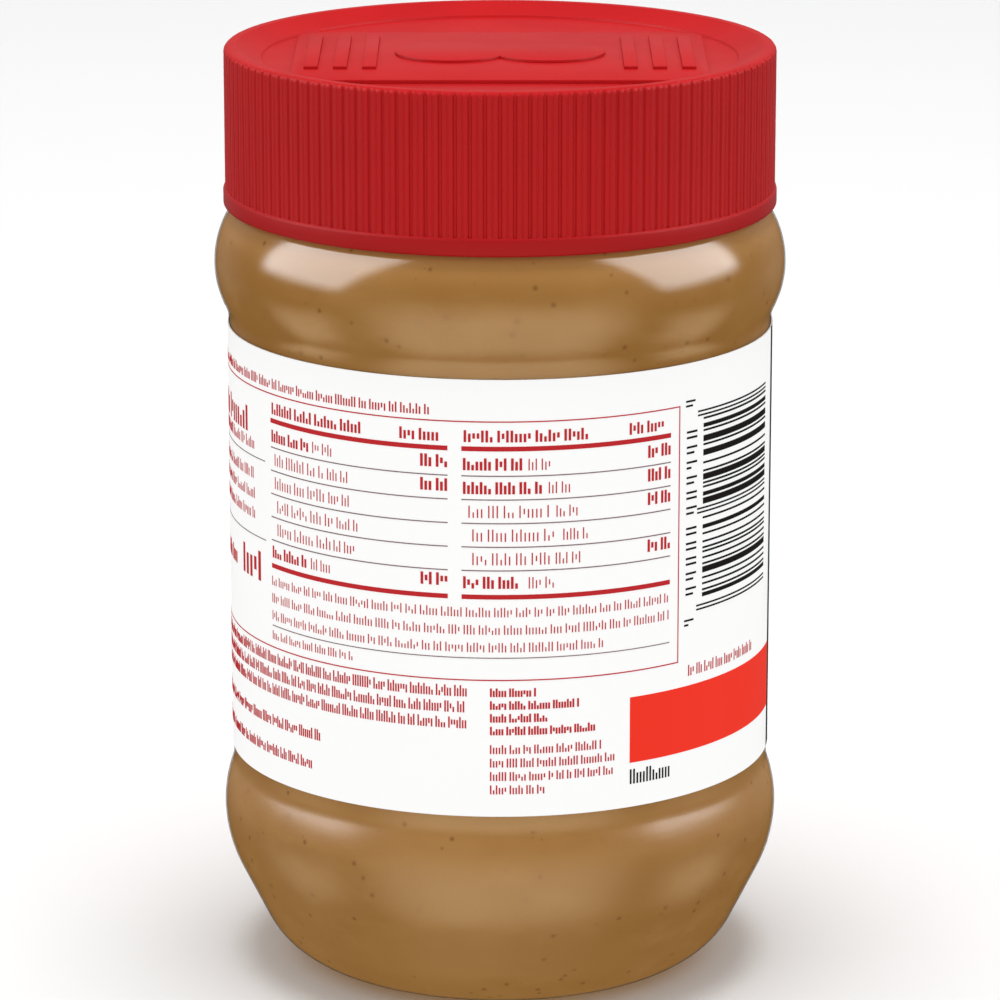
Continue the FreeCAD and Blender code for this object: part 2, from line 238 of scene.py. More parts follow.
def makeCamera():
    lift = math.radians(view["elevation"])
    data = bpy.data.cameras.new("camera")
    data.lens = view["lens"]
    data.sensor_width = 36
    data.clip_start = 0.01
    camera = bpy.data.objects.new("camera", data)
    back = Vector((0, -math.cos(lift), math.sin(lift)))
    camera.location = (Vector((0, 0, view["aim"])) + back * view["distance"]) * mm
    camera.rotation_euler = (math.pi / 2 - lift, 0, 0)
    bpy.context.scene.collection.objects.link(camera)
    bpy.context.scene.camera = camera


studio = {
    "dome": 0.96,           # even light from all round
    "wallLight": 1.02,      # a bright band round the horizon
    "wallReach": 3000,
    "wallHeight": 1000,
    "topLight": 19.0,       # watts of the soft lamp overhead
    "topSize": 0.8,         # metres, as is its height
    "topHeight": 1.6,
    "floor": (0.645, 0.645, 0.645, 1.0),
    "floorReach": 6000,
    "roomReach": 5000,      # gloss shows a dark room with these cards in it
    "cardReach": 4000,
}

whiteCard = (1.0, 1.0, 1.0, 1.0)
warmCard = (1.0, 0.78, 0.50, 1.0)

# azimuths from the front at a card's foot and head, its elevations, its brightness,
# the soft share of its sides, foot and head, and its colour
cards = {
    "leftWindow": ((-113, -66), (-116, -43), (2, 58), 8.0, (0.12, 0.20, 0.12), whiteCard),
    "rightWindow": ((67, 113), (46, 116), (2, 58), 8.0, (0.12, 0.20, 0.12), whiteCard),
    "leftLowCard": ((-118, -74), (-116, -58), (-50, -10), 2.2, (0.40, 0.40, 0.40), warmCard),
    "rightLowCard": ((74, 118), (58, 116), (-50, -10), 2.2, (0.40, 0.40, 0.40), warmCard),
    "frontLowCard": ((-72, 72), (-62, 62), (-74, 17), 3.4, (0.26, 0.34, 0.40), warmCard),
    "backCard": ((112, 248), (118, 242), (-24, 52), 0.45, (0.25, 0.25, 0.25), whiteCard),
}


def onlySeenBy(piece, *rays):
    for ray in ("camera", "diffuse", "glossy", "transmission", "volume_scatter", "shadow"):
        setattr(piece, "visible_" + ray, ray in rays)


def glowing(name, strength, colour):
    finish = Finish(name)
    glow = finish.node("Emission", None, {"Color": colour, "Strength": strength})
    dark = finish.node("Emission", None, {"Color": (0, 0, 0, 1), "Strength": 0.0})
    fade = finish.node("Attribute", {"attribute_name": "fade"}, None, "Fac")
    return finish.output(finish.node("MixShader", None, {0: fade, 1: dark, 2: glow}))


def makeCard(name, foot, head, rise, strength, soft, colour):
    card = bmesh.new()
    fade = card.verts.layers.float.new("fade")
    bmesh.ops.create_grid(card, x_segments=32, y_segments=32, size=1.0)
    for corner in card.verts:
        across, up = (corner.co.x + 1) / 2, (corner.co.y + 1) / 2
        lift = math.radians(rise[0] + (rise[1] - rise[0]) * up)
        left, right = (foot[side] + (head[side] - foot[side]) * up for side in (0, 1))
        azimuth = math.radians(left + (right - left) * across)
        corner.co = Vector((math.sin(azimuth) * math.cos(lift), -math.cos(azimuth) * math.cos(lift),
                            math.sin(lift))) * studio["cardReach"]
        corner[fade] = 1.0
        for inset, width in zip((across, 1 - across, up, 1 - up), (soft[0],) + soft):
            share = min(1.0, inset / width)
            corner[fade] *= share * share * (3 - 2 * share)
    onlySeenBy(keep(card, name, glowing(name, strength, colour)), "glossy")


def makeStudio():
    world = bpy.data.worlds.new("studio")
    bpy.context.scene.world = world
    world.use_nodes = True
    sky = Finish("studio", world.node_tree)
    seen = sky.node("LightPath", out="Is Camera Ray")
    for ray in ("Is Glossy Ray", "Is Transmission Ray"):
        seen = seen.atLeast(sky.node("LightPath", out=ray))
    dome = sky.node("Background", None, {"Color": (1, 1, 1, 1), "Strength": studio["dome"]})
    white = sky.node("Background", None, {"Color": (1, 1, 1, 1), "Strength": 1.0})
    sky.output(sky.node("MixShader", None, {0: seen, 1: dome, 2: white}), "OutputWorld")

    lamp = bpy.data.lights.new("topLamp", "AREA")
    lamp.energy = studio["topLight"]
    lamp.size = studio["topSize"]
    top = bpy.data.objects.new("topLamp", lamp)
    top.location = (0, 0, studio["topHeight"])
    top.visible_glossy = False
    bpy.context.scene.collection.objects.link(top)

    bright = Finish("wallLight")
    bright.output(bright.node("Emission", None, {"Color": whiteCard, "Strength": studio["wallLight"]}))
    edge = [(studio["wallReach"], -studio["wallHeight"]), (studio["wallReach"], studio["wallHeight"])]
    wall = keep(turned(edge, 48), "wallLight", bright.material)
    onlySeenBy(wall, "diffuse")

    pale = Finish("paleFloor")
    ground = pale.node("BsdfPrincipled", None, {
        "Base Color": studio["floor"], "Roughness": 0.9, "Specular IOR Level": 0.0})
    disc = bmesh.new()
    bmesh.ops.create_circle(disc, cap_ends=True, segments=96, radius=studio["floorReach"])
    onlySeenBy(keep(disc, "floor", pale.output(ground)), "camera", "transmission")

    room = bmesh.new()
    bmesh.ops.create_icosphere(room, subdivisions=3, radius=studio["roomReach"])
    dark = Finish("darkRoom")
    dark.output(dark.node("Emission", None, {"Color": (0, 0, 0, 1), "Strength": 0.0}))
    onlySeenBy(keep(room, "darkRoom", dark.material), "glossy")
    for name, card in cards.items():
        makeCard(name, *card)
    print("studio made")


jar = {
    "footInner": 18.5,
    "footOuter": 22.2,
    "dome": 3.0,
    "baseRound": 11.0,
    "heel": 37.45,
    "heelHeight": 21.1,
    "heelLower": 17.5,
    "heelUpper": 16.0,
    "waistRound": 4.5,
    "panel": 36.2,
    "shoulder": jarHigh.x,
    "shoulderHeight": 96.0,
    "shoulderLower": 12.0,
    "shoulderUpper": 12.6,
    "neck": 33.6,
    "wall": 0.9,
    "skin": 0.15,           # how far the contents stay under the outer face
    "gloss": 0.14,
    "dullGloss": 0.15,      # added up to the height dullTo, gone from clearFrom
    "dullTo": 30.0,
    "clearFrom": 60.0,
    "rim": (0.06, 0.05, 0.035, 1.0),
    "rimFrom": 0.72,        # how far a face turns away before its edge darkens
    "rimPower": 3.0,
    "index": 1.48,
    "mirrorMost": 0.09,
    "steps": 208,
}


def jarLine(inset, top, fine=1.0):
    # the jar's outline from the middle of the base to the neck, inset towards the inside
    def bend(centre, radius, first, last, steps):
        return arc(centre, radius, first, last, max(3, round(steps * fine)))

    waist = jar["waistRound"] + inset
    dome = (jar["footInner"] ** 2 + jar["dome"] ** 2) / (2 * jar["dome"])
    domeEdge = math.degrees(math.asin(jar["footInner"] / dome))
    line = bend((0, jar["dome"] - dome + inset), dome, 90, 90 - domeEdge, 8)

    base = (jar["footOuter"], jar["baseRound"])
    heel = (jar["heel"] - jar["heelLower"], jar["heelHeight"])
    baseRadius = jar["baseRound"] - inset
    heelRadius = jar["heelLower"] - inset
    span = math.dist(base, heel)
    lean = math.degrees(math.atan2(heel[1] - base[1], heel[0] - base[0])
                        - math.acos((baseRadius - heelRadius) / span))
    line += bend(base, baseRadius, -90, lean, 16)
    line += bend(heel, heelRadius, lean, 0, 16)

    def swing(bulge, radius):
        both = radius + jar["waistRound"]
        return math.degrees(math.acos((both - (bulge - jar["panel"])) / both))

    heelTurn = swing(jar["heel"], jar["heelUpper"])
    line += bend((jar["heel"] - jar["heelUpper"], jar["heelHeight"]),
                 jar["heelUpper"] - inset, 0, heelTurn, 12)
    waistLow = jar["heelHeight"] + (jar["heelUpper"] + jar["waistRound"]) * math.sin(math.radians(heelTurn))
    line += bend((jar["panel"] + jar["waistRound"], waistLow), waist, 180 + heelTurn, 180, 8)

    shoulderTurn = swing(jar["shoulder"], jar["shoulderLower"])
    both = jar["shoulderLower"] + jar["waistRound"]
    waistHigh = jar["shoulderHeight"] - both * math.sin(math.radians(shoulderTurn))
    line += bend((jar["panel"] + jar["waistRound"], waistHigh), waist, 180, 180 - shoulderTurn, 8)
    line += bend((jar["shoulder"] - jar["shoulderLower"], jar["shoulderHeight"]),
                 jar["shoulderLower"] - inset, -shoulderTurn, 0, 12)
    crown = jar["shoulder"] - jar["shoulderUpper"]
    crownEnd = math.degrees(math.acos((jar["neck"] - inset - crown) / (jar["shoulderUpper"] - inset)))
    line += bend((crown, jar["shoulderHeight"]), jar["shoulderUpper"] - inset, 0, crownEnd, 16)
    line.append((jar["neck"] - inset, top))
    return line


def clearPlastic():
    finish = Finish("clearPlastic")
    facing = finish.node("LayerWeight", None, {"Blend": 0.5}, "Facing")
    waves = finish.bump(finish.noise(22, 1.0), 0.12)
    # the blown wall is less smooth at the heel
    dull = 1 - finish.height().between(jar["dullTo"] * mm, jar["clearFrom"] * mm)
    gloss = finish.node("BsdfAnisotropic", None, {
        "Color": (1, 1, 1, 1), "Roughness": jar["gloss"] + jar["dullGloss"] * dull, "Normal": waves})
    clear = finish.node("BsdfTransparent", None, {"Color": (1, 1, 1, 1)})
    rim = finish.node("BsdfTransparent", None, {"Color": jar["rim"]})
    # light has a longer way through the wall where it is seen edge on
    edge = ((facing - jar["rimFrom"]).atLeast(0.0) / (1 - jar["rimFrom"])) ** jar["rimPower"]
    body = finish.node("MixShader", None, {0: edge, 1: clear, 2: rim})
    mirror = finish.node("Fresnel", None, {"IOR": jar["index"]}).atMost(jar["mirrorMost"])
    return finish.output(finish.node("MixShader", None, {0: mirror, 1: body, 2: gloss}))


def makeJar():
    outside = jarLine(0, jarHigh.z)
    inside = jarLine(jar["wall"], jarHigh.z, 0.4)
    keep(turned(outside + inside[::-1], jar["steps"]), "clearJar", clearPlastic(), "clear_plastic", "jar")
    print("jar made")


butter = {
    "tone": paint(155, 112, 60),
    "deep": paint(146, 102, 50),
    "pale": paint(163, 121, 70),
    "speck": paint(112, 70, 36),
    "paintedLight": paint(190, 141, 84),     # painted light: a lighter colour in the thin collar under the lid
    "glowLow": (20.5, 24.0),        # and a painted glow over the heel's upper side
    "glowHigh": (27.0, 31.0),
    "litFrom": 99.0,
    "litTo": 105.5,
}


def pasteFinish():
    finish = Finish("peanutPaste")
    drift = finish.noise(26, 3.0, 0.55).between(0.35, 0.65)
    smear = finish.noise(9, 4.0, 0.6, (1.0, 1.0, 2.2)).between(0.45, 0.72)
    colour = finish.blend(drift * 0.7, butter["tone"], butter["deep"])
    colour = finish.blend(smear * 0.4, colour, butter["pale"])
    grain = finish.noise(0.5, 3.0, 0.6)
    colour = finish.blend((grain - 0.5).atLeast(0.0) * 0.5, colour, butter["deep"])
    # painted light: the collar under the lid and a band over the heel's upper side are coloured lighter
    height = finish.height()
    collar = height.between(butter["litFrom"] * mm, butter["litTo"] * mm)
    low, high = butter["glowLow"], butter["glowHigh"]
    glow = height.between(low[0] * mm, low[1] * mm) - height.between(high[0] * mm, high[1] * mm)
    colour = finish.blend(collar * 0.8 + glow * 0.16, colour, butter["paintedLight"])
    crumbs = finish.specks(2.9, 0.34, 0.14) * 0.6 + finish.specks(1.9, 0.16, 0.08) * 0.35
    colour = finish.blend(crumbs, colour, butter["speck"])
    shine = 0.55 + 0.15 * finish.noise(3.0, 2.0)
    return finish.output(finish.node("BsdfPrincipled", None, {
        "Base Color": colour, "Roughness": shine, "Specular IOR Level": 0.0,
        "Normal": finish.bump(grain + 2.0 * finish.noise(4.0, 2.0), 0.035)}))


def makeContents():
    line = jarLine(jar["skin"], fillHigh.z) + [(0, fillHigh.z)]
    keep(turned(line, jar["steps"]), "peanutButter", pasteFinish(), "peanut_butter", "peanut_butter")
    print("peanut butter made")


label = {
    "radius": jar["panel"] + 0.15,
    "sheet": 0.15,
    "lapFrom": 158.0,
    "lapWidth": 7.0,
    "paper": (0.965, 0.965, 0.96, 1.0),
    "ink": 0.03,            # how far the print stands on the sheet
    "weight": 1.28,         # thickness of the stand-in writing's strokes
    "margin": 0.05,         # bare paper at the sheet's edges
    "chord": 1.2,           # longest straight stretch of print round the jar
    "red": paint(186, 38, 44),
    "field": paint(239, 52, 36),
    "rule": paint(120, 96, 100),
    "black": paint(22, 20, 20),
    "edge": paint(18, 44, 32),
}


def paperFinish(name, colour):
    finish = Finish(name)
    fibre = finish.noise(1.3, 3.0, 0.6)
    cloud = finish.noise(18, 2.0)
    deep = tuple(part * 0.965 for part in colour[:3]) + (1.0,)
    tone = finish.blend(cloud * 0.35 + fibre * 0.25, colour, deep)
    return finish.output(finish.node("BsdfPrincipled", None, {
        "Base Color": tone, "Roughness": 0.5 + 0.12 * fibre, "Specular IOR Level": 0.03,
        "Normal": finish.bump(fibre + 3.0 * cloud, 0.02)}))


def addBar(ink, left, right, low, high, layer=1):
    # a flat patch of print: left and right along the jar's round, low and high up it
    patch = bmesh.new()
    bmesh.ops.create_cube(patch, size=1.0)
    bmesh.ops.scale(patch, vec=(right - left, label["ink"] * layer * 2, high - low), verts=patch.verts)
    bmesh.ops.translate(patch, vec=((left + right) / 2, 0, (low + high) / 2), verts=patch.verts)
    parts = math.ceil((right - left) / label["chord"])
    if parts > 1:
        across = [edge for edge in patch.edges if abs(edge.verts[0].co.x - edge.verts[1].co.x) > 1e-6]
        bmesh.ops.subdivide_edges(patch, edges=across, cuts=parts - 1, use_grid_fill=True)
    ink.append(patch)


# height, stroke and spacing of stand-in writing, and how many strokes a word has
styles = {
    "head": (1.55, 0.26, 0.56, (6, 9)),
    "headRight": (1.55, 0.26, 0.56, (4, 5)),
    "bold": (1.6, 0.27, 0.54, (3, 7)),
    "light": (1.6, 0.13, 0.54, (3, 7)),
    "amount": (1.5, 0.12, 0.46, (3, 5)),
    "share": (1.65, 0.28, 0.56, (3, 4)),
    "small": (1.25, 0.12, 0.42, (3, 8)),
    "foot": (1.15, 0.12, 0.4, (2, 6)),
    "title": (3.4, 0.5, 1.15, (4, 8)),
    "strip": (1.5, 0.16, 0.5, (3, 7)),
    "stripBold": (2.2, 0.4, 0.8, (3, 6)),
    "large": (4.0, 0.55, 1.3, (5, 5)),
    "above": (1.35, 0.16, 0.42, (2, 8)),
    "close": (1.5, 0.16, 0.36, (3, 9)),
    "single": (1.5, 0.18, 0.38, (3, 8)),
    "noteBold": (1.15, 0.2, 0.37, (3, 8)),
    "note": (1.2, 0.15, 0.38, (2, 8)),
    "date": (1.5, 0.16, 0.42, (3, 5)),
    "stamp": (2.0, 0.2, 0.5, (13, 13)),
    "end": (1.7, 0.2, 0.62, (2, 2)),
    "ticks": (1.9, 0.22, 0.75, (2, 2)),
}


def scribble(dice, width, style):
    # one line of stand-in writing: runs of upright and short strokes that form no letters
    height, stroke, pitch, words = styles[style]
    stroke *= label["weight"]
    marks = []
    place = 0.0
    while place + stroke < width:
        for step in range(dice.randint(*words)):
            near = place + step * pitch
            tall = dice.choice((1.0, 0.72, 0.72, 0.45))
            low = 0.0 if step == 0 or tall > 0.5 else dice.choice((0.0, 0.3)) * height
            marks.append((near, near + stroke, low, low + height * (1.0 if step == 0 else tall)))
        place += (step + 1) * pitch + pitch * 0.7
    return [mark for mark in marks if mark[1] <= width + 1e-6]


def writeAcross(ink, dice, left, right, base, style):
    for near, far, low, high in scribble(dice, right - left, style):
        addBar(ink, left + near, left + far, base + low, base + high)


def writeDown(ink, dice, left, top, length, style):
    for near, far, low, high in scribble(dice, length, style):
        addBar(ink, left + low, left + high, top - far, top - near)


def writeRows(ink, dice, left, ends, top, step, style):
    # lines one under another from the same left edge
    for row, end in enumerate(ends):
        writeAcross(ink, dice, left, end, top - row * step, style)


def frameLine(ink, left, right, low, high, width):
    addBar(ink, left, right, high - width, high)
    addBar(ink, left, right, low, low + width)
    for side in (left, right - width):
        addBar(ink, side, side + width, low + width, high - width)


def wrapped(ink):
    # joins flat print and bends it round the label
    whole = joined(*ink)
    for corner in whole.verts:
        angle = corner.co.x / label["radius"]
        radius = label["radius"] + corner.co.y
        height = corner.co.z
        corner.co = (radius * math.sin(angle), -radius * math.cos(angle), height)
    return whole


table = {
    "left": -62.0,
    "right": 25.2,
    "low": 48.05,
    "high": 82.5,
    "line": 0.16,
    "heads": 79.75,
    "headInset": 0.3,
    "headLength": 16.5,
    "headRight": (6.4, 0.6),    # ends of the right-hand head, back from the column's edge
    "topRule": 78.87,
    "firstRow": 0.45,           # from the top rule's middle to the first row
    "rows": 3.13,
    "lastRule": 59.27,
    "thickRule": 0.62,
    "thinRule": 0.07,           # half its thickness
    "columns": ((-35.1, -6.75), (-4.95, 23.65)),
    "boldRows": ((0, 5), (0, 1, 5)),
    "shareRows": ((0, 1, 5), (0, 1, 2, 4)),
    "nameLift": 0.75,
    "shareLift": 1.05,
    "share": 3.6,
    "amount": 3.4,
    "smallPrint": 56.6,
    "smallStep": 2.35,
    "footRule": (51.05, 51.17),
    "foot": 49.25,
}


def printTable(red, rules, dice):
    frameLine(red, table["left"], table["right"], table["low"], table["high"], table["line"])
    heads = table["heads"]
    thick, thin = table["thickRule"] / 2, table["thinRule"]
    firstRow = table["topRule"] - table["firstRow"]
    for start, finish in table["columns"]:
        for rule in (table["topRule"], table["lastRule"]):
            addBar(red, start, finish, rule - thick, rule + thick)
        begin = start + table["headInset"]
        writeAcross(red, dice, begin, begin + table["headLength"], heads, "head")
        near, far = table["headRight"]
        writeAcross(red, dice, finish - near, finish - far, heads, "headRight")
        for row in range(1, 6):
            height = firstRow - table["rows"] * row
            addBar(rules, start, finish, height - thin, height + thin)
    # bold names with light amounts, then light, indented rows
    for boldRows, (start, finish) in zip(table["boldRows"], table["columns"]):
        for row in range(6):
            base = firstRow - table["rows"] * (row + 1) + table["nameLift"]
            bold = row in boldRows
            begin = start + (0.2 if bold else 0.9 + 0.5 * (row > 2))
            name = dice.uniform(6.2, 8.6) if row in (0, 5) else dice.uniform(9.5, 12.0)
            writeAcross(red, dice, begin, begin + name, base, "bold" if bold else "light")
            tail = begin + name + 0.5
            writeAcross(red, dice, tail, tail + table["amount"], base, "amount")
    for rows, (start, finish) in zip(table["shareRows"], table["columns"]):
        for row in rows:
            base = firstRow - table["rows"] * (row + 1) + table["shareLift"]
            writeAcross(red, dice, finish - table["share"], finish, base, "share")
    # small print under the columns
    left, right = table["columns"][0][0], table["columns"][1][1]
    writeRows(red, dice, left, (right, right, right - 10), table["smallPrint"], table["smallStep"], "small")
    addBar(rules, left, right, *table["footRule"])
    writeAcross(red, dice, left, left + 15, table["foot"], "foot")


# left edge, right ends from the top down, height of the first line, step and style
smallPrint = {
    "strip": (
        (-60.5, (-40.0,), 76.0, 0.0, "title"),
        (-60.5, (-39.5,), 74.0, 0.0, "strip"),
        (-60.5, (-39.5,), 70.0, 0.0, "strip"),
        (-60.5, (-39.5,), 67.3, 0.0, "strip"),
        (-60.5, (-39.5,), 64.6, 0.0, "strip"),
        (-60.5, (-46.5,), 56.6, 0.0, "stripBold"),
        (-44.0, (-37.0,), 56.4, 0.0, "large"),
        (-62.0, (-9.0,), 83.15, 0.0, "above"),
    ),
    "below": (
        (-62.0, (-4.15, -4.15, -4.15), 45.9, 2.15, "close"),
        (-62.0, (-25.3,), 37.3, 0.0, "single"),
        (-62.0, (-26.7,), 33.2, 0.0, "single"),
        (-1.3, (4.9, 10.5, 6.4, 12.8), 45.9, 1.72, "noteBold"),
        (-1.3, (13.5, 15.4, 15.4, 5.9), 38.2, 1.82, "note"),
    ),
    "stripRules": (73.0, 62.3),
    "stripRuleEnds": (-61.0, -36.6),
    "stripRuleHalf": 0.06,
}


def printSmall(red, rules, dice):
    half = smallPrint["stripRuleHalf"]
    for height in smallPrint["stripRules"]:
        addBar(rules, *smallPrint["stripRuleEnds"], height - half, height + half)
    for rows in smallPrint["strip"] + smallPrint["below"]:
        writeRows(red, dice, *rows)


stripes = {
    "left": 29.5,
    "guardLeft": 28.4,
    "right": 47.5,
    "low": 54.5,
    "high": 81.4,
    "unit": 0.27,
    # left edge, top, length and style of the ticks beside it
    "ticks": ((26.2, 83.0, 1.6, "end"), (26.4, 78.9, 11.2, "ticks"),
              (26.4, 66.0, 10.0, "ticks"), (26.2, 53.6, 1.6, "end")),
}


def printStripes(black, dice):
    # a stripe code of its own, run round the jar
    def guard(height):
        for step in (0, 2):
            low = height - stripes["unit"] * (step + 1)
            addBar(black, stripes["guardLeft"], stripes["right"], low, low + stripes["unit"] * 0.85)
        return height - stripes["unit"] * 4

    middle = (stripes["high"] + stripes["low"]) / 2
    height = guard(stripes["high"])
    guard(middle + stripes["unit"] * 1.5)
    while height > stripes["low"] + stripes["unit"] * 5:
        if abs(height - middle) < stripes["unit"] * 3.5:
            height = middle - stripes["unit"] * 3.5
        wide = dice.choice((1, 1, 1, 1, 2, 3)) * stripes["unit"]
        addBar(black, stripes["left"], stripes["right"], height - wide, height)
        height -= wide + dice.choice((1, 2, 2, 3)) * stripes["unit"]
    guard(stripes["low"] + stripes["unit"] * 3)
    for ticks in stripes["ticks"]:
        writeDown(black, dice, *ticks)


dateBox = {
    "left": 17.55,
    "right": 51.6,
    "low": 35.7,
    "high": 44.6,
    "heading": (27.0, 42.6, 45.9, "date"),
    "stamp": (17.6, 24.1, 32.8, "stamp"),
}

# the label's own front, turned away from the camera: a guessed, plain design
panel = {
    "left": 58.0,
    "right": 157.0,
    "middle": 105.0,
    "ring": (37.5, 19.5, 63.0),     # half width, half height and height of the middle
    "oval": (35.6, 17.8, 63.0),
    "band": (32.2, 39.4),
    "bandBar": (35.1, 36.5),
    "topBar": (85.0, 85.8),
    "ovalBars": ((17, 52.4, 53.6), (11, 49.6, 50.4)),   # half length, foot and head
    # across, height, size and lean of each nut
    "nuts": ((-12.5, 63.5, 5.2, 0.45), (0.5, 67.0, 6.2, -0.3), (13.5, 63.0, 5.2, 0.2)),
    "husks": 7,                     # marks in each of a nut's two rows
    "green": paint(24, 66, 44),
    "cream": paint(246, 236, 208),
    "shell": paint(201, 154, 92),
    "husk": paint(150, 102, 54),
}


def addDisc(ink, middle, height, halfWide, halfHigh, layer, lean=0.0, cuts=(72, 30)):
    # a filled oval of print
    disc = bmesh.new()
    bmesh.ops.create_grid(disc, x_segments=cuts[0], y_segments=cuts[1], size=1.0)
    faces = disc.faces[:]
    bmesh.ops.extrude_face_region(disc, geom=faces)
    base = {corner for face in faces if face.is_valid for corner in face.verts}
    for corner in disc.verts:
        u, v = corner.co.x, corner.co.y
        across = u * math.sqrt(1 - v * v / 2) * halfWide
        up = v * math.sqrt(1 - u * u / 2) * halfHigh
        rise = label["ink"] * layer * (-1 if corner in base else 1)
        corner.co = (middle + across * math.cos(lean) - up * math.sin(lean), rise,
                     height + across * math.sin(lean) + up * math.cos(lean))
    ink.append(disc)


def printPanel(dice):
    # a plain design with nuts, an oval and bands
    fieldInk, green, cream, shell, husk = [], [], [], [], []
    low, high = labelLow.z + label["margin"], labelHigh.z - label["margin"]
    middle = panel["middle"]
    addBar(fieldInk, panel["left"], panel["right"], low, high)
    for ink, key, layer in ((green, "ring", 2), (cream, "oval", 3)):
        wide, tall, height = panel[key]
        addDisc(ink, middle, height, wide, tall, layer)
    addBar(green, panel["left"], panel["right"], *panel["band"], 2)
    for side in (-1, 1):
        addBar(cream, middle + side * 26 - 12, middle + side * 26 + 12, *panel["bandBar"], 3)
        addBar(cream, middle + side * 44 - 3, middle + side * 44 + 3, *panel["topBar"], 3)
    for half, foot, head in panel["ovalBars"]:
        addBar(green, middle - half, middle + half, foot, head, 4)
    for across, height, size, lean in panel["nuts"]:
        for end, layer in ((-1, 4), (1, 5)):
            shift = end * size * 0.86
            addDisc(shell, middle + across + shift * math.cos(lean), height + shift * math.sin(lean),
                    size * (1.06 if end < 0 else 0.96), size * 0.74, layer, lean, (12, 8))
        row = panel["husks"]
        for mark in range(2 * row):
            along = (mark % row - row // 2) * size * 0.44
            off = (1 if mark < row else -1) * size * dice.uniform(0.14, 0.32)
            x = middle + across + along * math.cos(lean) - off * math.sin(lean)
            z = height + along * math.sin(lean) + off * math.cos(lean)
            addBar(husk, x - 0.55, x + 0.55, z - 0.13, z + 0.13, 6)
    inks = {
        "panelField": (fieldInk, label["field"]),
        "panelGreen": (green, panel["green"]),
        "panelCream": (cream, panel["cream"]),
        "panelNuts": (shell, panel["shell"]),
        "panelHusks": (husk, panel["husk"]),
    }
    for name, (ink, colour) in inks.items():
        keep(wrapped(ink), name, paperFinish(name, colour), "label", merge=False)


def makeLabel():
    half = label["radius"]
    sheet = [(jar["panel"], labelLow.z), (half, labelLow.z),
             (half, labelHigh.z), (jar["panel"], labelHigh.z)]
    sleeve = turned(sheet, jar["steps"], closed=True)
    lapSheet = [(half - 0.02, labelLow.z), (half + label["sheet"], labelLow.z),
                (half + label["sheet"], labelHigh.z), (half - 0.02, labelHigh.z)]
    lap = turned(lapSheet, 12, closed=True, angle=label["lapWidth"] / jar["panel"],
                 start=math.radians(label["lapFrom"]))
    bmesh.ops.holes_fill(lap, edges=[edge for edge in lap.edges if edge.is_boundary], sides=4)
    paper = paperFinish("coatedPaper", label["paper"])
    keep(joined(sleeve, lap), "labelSheet", paper, "label", "label")

    dice = random.Random(7)
    red, rules, black, field, edge = [], [], [], [], []
    printTable(red, rules, dice)
    printSmall(red, rules, dice)
    printStripes(black, dice)
    writeAcross(red, dice, *dateBox["heading"])
    writeAcross(black, dice, *dateBox["stamp"])
    keep(wrapped(red), "redPrint", paperFinish("redInk", label["red"]), "label", merge=False)
    keep(wrapped(rules), "greyRules", paperFinish("greyInk", label["rule"]), "label", merge=False)
    keep(wrapped(black), "blackPrint", paperFinish("blackInk", label["black"]), "label", merge=False)
    addBar(field, dateBox["left"], dateBox["right"], dateBox["low"], dateBox["high"])
    keep(wrapped(field), "dateField", paperFinish("fieldInk", label["field"]), "label", merge=False)
    margin = label["margin"]
    addBar(edge, dateBox["right"], panel["left"], labelLow.z + margin, labelHigh.z - margin)
    keep(wrapped(edge), "panelEdge", paperFinish("edgeInk", label["edge"]), "label", merge=False)
    printPanel(dice)
    print("label made")


lid = {
    "radius": lidHigh.x - 0.25,
    "bead": lidHigh.x,
    "beadHeight": 2.4,
    "beadStep": 0.25,
    "beadRound": 0.5,
    "skirtInner": 34.9,
    "flare": 0.7,
    "flareHeight": 1.05,
    "edgeRound": 0.7,
    "crestWidth": 0.9,
    "slope": 3.6,           # from the rim down to the sunk floor
    "recess": 1.8,
    "roof": 1.2,
    "ribs": 120,
    "ribDepth": 0.4,
    "colour": (0.415, 0.0075, 0.0092, 1.0),
    "deep": (0.365, 0.0056, 0.0074, 1.0),
    "beadShadeColour": (0.34, 0.0055, 0.0072, 1.0),     # painted shade: a darker red for the bead
    "plateDepth": 36.6,
    "plateForward": 1.6,
    "plateHalfWidth": 27.14,
    "plateCorner": 3.0,
    "plateRise": 0.5,
    "emblemRise": 0.4,
    "barStarts": (16.1, 19.9, 23.7),
    "barWidth": 1.8,
    "barReach": 12,
    "nutLobe": 7.5,
    "nutOffset": 6.4,
}

# one rib: how far each edge line lies from the middle of the groove, and how deep it is cut
ribLines = (
    (0.0, 0.62), (0.13, 0.62), (0.28, 0.1), (0.42, 0.0), (0.76, 0.0), (0.90, 0.24),
    (1.01, 0.24), (1.15, 0.0), (1.489, 0.0), (1.629, 0.1), (1.779, 0.62),
)


def lidLine():
    low = lidLow.z
    top = lidHigh.z
    floor = top - lid["recess"]
    crest = lid["radius"] - lid["edgeRound"]
    beadTop = low + lid["beadHeight"]
    line = [(0, floor - lid["roof"]), (lid["skirtInner"], floor - lid["roof"])]
    line.append((lid["skirtInner"], low + lid["flareHeight"]))
    line.append((lid["skirtInner"] + lid["flare"], low))
    line += arc((lid["bead"] - lid["beadRound"], low + lid["beadRound"]), lid["beadRound"], -90, 0, 5)
    beadEdge = beadTop - lid["beadStep"]
    line += [(lid["bead"], beadEdge - 0.12), (lid["bead"] - 0.04, beadEdge)]
    line += [(lid["radius"] + 0.04, beadTop - 0.03), (lid["radius"], beadTop)]
    line.append((lid["radius"], beadTop + 0.06))
    line += arc((crest, top - lid["edgeRound"]), lid["edgeRound"], 0, 90, 12)
    inner = crest - lid["crestWidth"]
    line += arc((inner + 0.1, top - 0.35), 0.35, 90, 135, 3)
    slopeFoot = inner - lid["slope"]
    line += [(slopeFoot + 0.25, floor + 0.35), (slopeFoot + 0.08, floor + 0.1), (slopeFoot - 0.25, floor)]
    line.append((0, floor))
    return line


